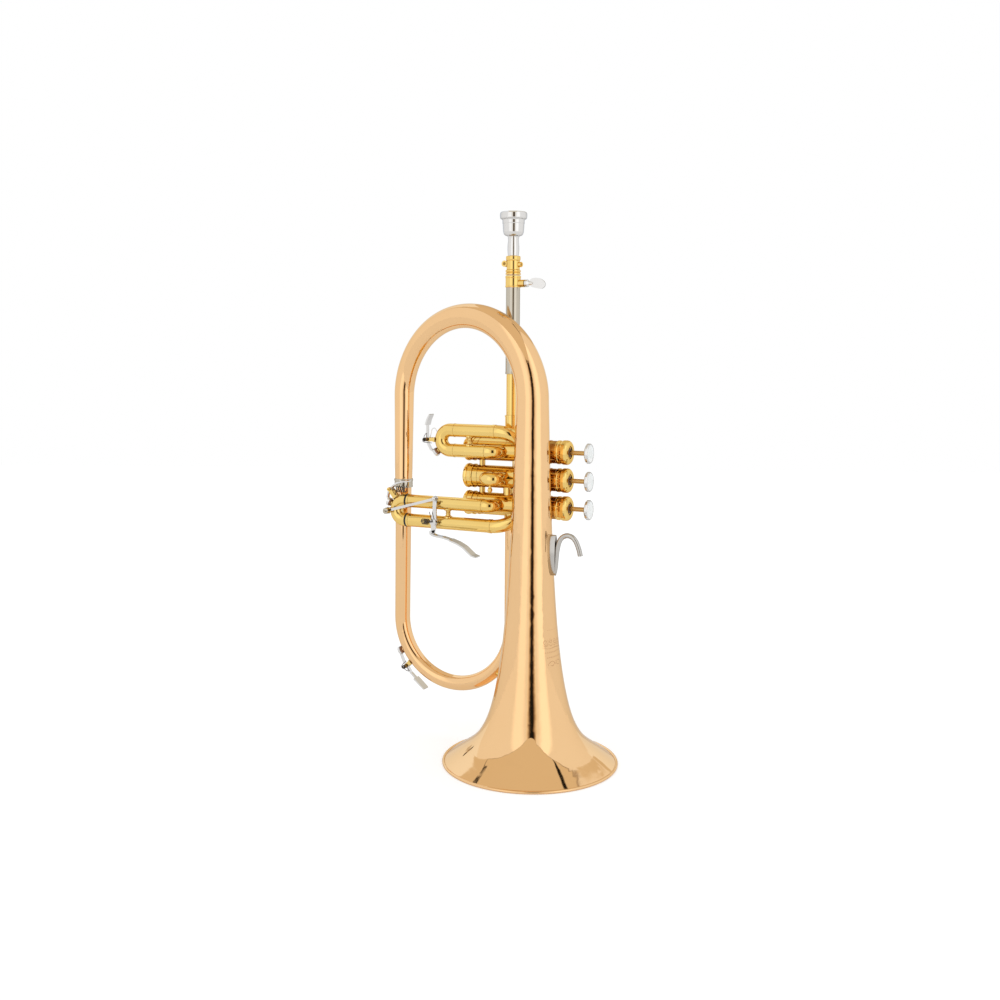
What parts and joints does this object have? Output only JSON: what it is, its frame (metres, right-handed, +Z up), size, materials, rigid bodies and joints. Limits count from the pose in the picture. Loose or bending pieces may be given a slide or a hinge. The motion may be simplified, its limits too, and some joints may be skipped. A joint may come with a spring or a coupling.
{
  "type": "flugelhorn",
  "caption": "Valved brass horn with a wide conical bell, looped bows, three piston valves, pull-out tuning slides, a slide trigger, water keys and a cup mouthpiece.",
  "frame": {"origin": "centre of the bell mouth, in the plane the rim stands on", "axes": "+Z up the bell axis towards the mouthpiece, +X towards the finger buttons, +Y from the bell towards the valve block"},
  "size_m": [0.2324, 0.1524, 0.483],
  "materials": {
    "rose_brass": "clear-lacquered, mirror gloss",
    "yellow_brass": "clear-lacquered, mirror gloss",
    "nickel_silver": "polished nickel silver",
    "silver_plate": "polished silver plate",
    "monel": "fine ground",
    "spring_steel": "drawn wire",
    "pearl": "polished pearl",
    "cork": "natural cork",
    "felt": "pressed felt",
    "rubber": "smooth"
  },
  "bodies": {
    "instrument": {"bell": "rose_brass", "top_bow": "rose_brass", "bottom_bow": "rose_brass", "bow_ferrule": "nickel_silver", "leadpipe_sleeve": "nickel_silver", "valve_casing_1": "yellow_brass", "valve_casing_2": "yellow_brass", "valve_casing_3": "yellow_brass", "bottom_valve_caps": "yellow_brass", "top_valve_caps": "yellow_brass", "intervalve_tubes": "yellow_brass", "casing_posts": "yellow_brass", "valve_ferrules": "yellow_brass", "leadpipe_lower": "yellow_brass", "leadpipe_clamp": "yellow_brass", "first_slide_sleeves": "yellow_brass", "third_slide_sleeves": "yellow_brass", "first_slide_knuckles": "yellow_brass", "third_slide_knuckles": "yellow_brass", "second_slide_sleeves": "yellow_brass", "slide_braces": "yellow_brass", "body_braces": "yellow_brass", "bow_key_saddle": "yellow_brass", "bell_rim_wire": "yellow_brass", "valve_guides": "yellow_brass", "pinky_hook": "silver_plate", "trigger_post": "silver_plate", "valve_spring_1": "spring_steel", "valve_spring_2": "spring_steel", "valve_spring_3": "spring_steel", "cap_felts": "felt"},
    "piston_1": {"piston_1": "monel", "finger_button_1": "silver_plate", "button_pearl_1": "pearl"},
    "piston_2": {"piston_2": "monel", "finger_button_2": "silver_plate", "button_pearl_2": "pearl"},
    "piston_3": {"piston_3": "monel", "finger_button_3": "silver_plate", "button_pearl_3": "pearl"},
    "leadpipe": {"leadpipe_inner": "nickel_silver", "mouthpiece_receiver": "yellow_brass"},
    "mouthpiece": {"mouthpiece": "silver_plate"},
    "thumbscrew": {"clamp_thumbscrew": "silver_plate"},
    "first_slide": {"first_slide_legs": "nickel_silver", "first_slide_crook": "yellow_brass", "first_key_saddle": "yellow_brass"},
    "first_key": {"first_key_lever": "silver_plate", "first_key_cork": "cork"},
    "second_slide": {"second_slide_crook": "yellow_brass"},
    "third_slide": {"third_slide_legs": "nickel_silver", "third_slide_crook": "yellow_brass", "third_slide_o_rings": "rubber", "third_key_saddle": "yellow_brass"},
    "third_key": {"third_key_lever": "silver_plate", "third_key_cork": "cork"},
    "bow_key": {"bow_key_lever": "silver_plate", "bow_key_cork": "cork"},
    "trigger": {"trigger_lever": "silver_plate"},
    "link": {"trigger_link": "silver_plate"}
  },
  "joints": [
    {"name": "valve_1", "type": "slide", "parent": "instrument", "child": "piston_1", "axis": [-1, 0, 0], "range_m": [0, 0.0144], "stiffness_N_per_m": 60, "deforming": ["valve_spring_1"]},
    {"name": "valve_2", "type": "slide", "parent": "instrument", "child": "piston_2", "axis": [-1, 0, 0], "range_m": [0, 0.0144], "stiffness_N_per_m": 60, "deforming": ["valve_spring_2"]},
    {"name": "valve_3", "type": "slide", "parent": "instrument", "child": "piston_3", "axis": [-1, 0, 0], "range_m": [0, 0.0144], "stiffness_N_per_m": 60, "deforming": ["valve_spring_3"]},
    {"name": "leadpipe_tuning", "type": "slide", "parent": "instrument", "child": "leadpipe", "axis": [0, 0, 1], "range_m": [0, 0.025]},
    {"name": "mouthpiece_pull", "type": "slide", "parent": "leadpipe", "child": "mouthpiece", "axis": [0, 0, 1], "range_m": [0, 0.03]},
    {"name": "clamp_screw", "type": "hinge", "parent": "instrument", "child": "thumbscrew", "pos_m": [-0.02, 0.031, 0.418], "axis": [1, 0, 0], "range_deg": [0, 360]},
    {"name": "first_slide_pull", "type": "slide", "parent": "instrument", "child": "first_slide", "axis": [-1, 0, 0], "range_m": [0, 0.024]},
    {"name": "first_key_hinge", "type": "hinge", "parent": "first_slide", "child": "first_key", "pos_m": [-0.1113, 0.0133, 0.2752], "axis": [0, 1, 0], "range_deg": [0, 18]},
    {"name": "second_slide_pull", "type": "slide", "parent": "instrument", "child": "second_slide", "axis": [0, -1, 0], "range_m": [0, 0.006]},
    {"name": "third_slide_pull", "type": "slide", "parent": "instrument", "child": "third_slide", "axis": [-1, 0, 0], "range_m": [0, 0.0094]},
    {"name": "third_key_hinge", "type": "hinge", "parent": "third_slide", "child": "third_key", "pos_m": [-0.15048, 0.0133, 0.2272], "axis": [0, 1, 0], "range_deg": [0, 12]},
    {"name": "bow_key_hinge", "type": "hinge", "parent": "instrument", "child": "bow_key", "pos_m": [-0.14189, 0.031, 0.05828], "axis": [0, -1, 0], "range_deg": [0, 14]},
    {"name": "trigger_hinge", "type": "hinge", "parent": "instrument", "child": "trigger", "pos_m": [-0.099, 0.003, 0.2005], "axis": [0, -1, 0], "range_deg": [0, 25]},
    {"name": "link_hinge", "type": "hinge", "parent": "trigger", "child": "link", "pos_m": [-0.0979, 0.0024, 0.2219], "axis": [0, -1, 0], "range_deg": [-28, 0]}
  ],
  "couplings": [
    {"joint": "trigger_hinge", "follows": "third_slide_pull", "rad_per_m": 45.86},
    {"joint": "link_hinge", "follows": "third_slide_pull", "rad_per_m": -48.1}
  ]
}
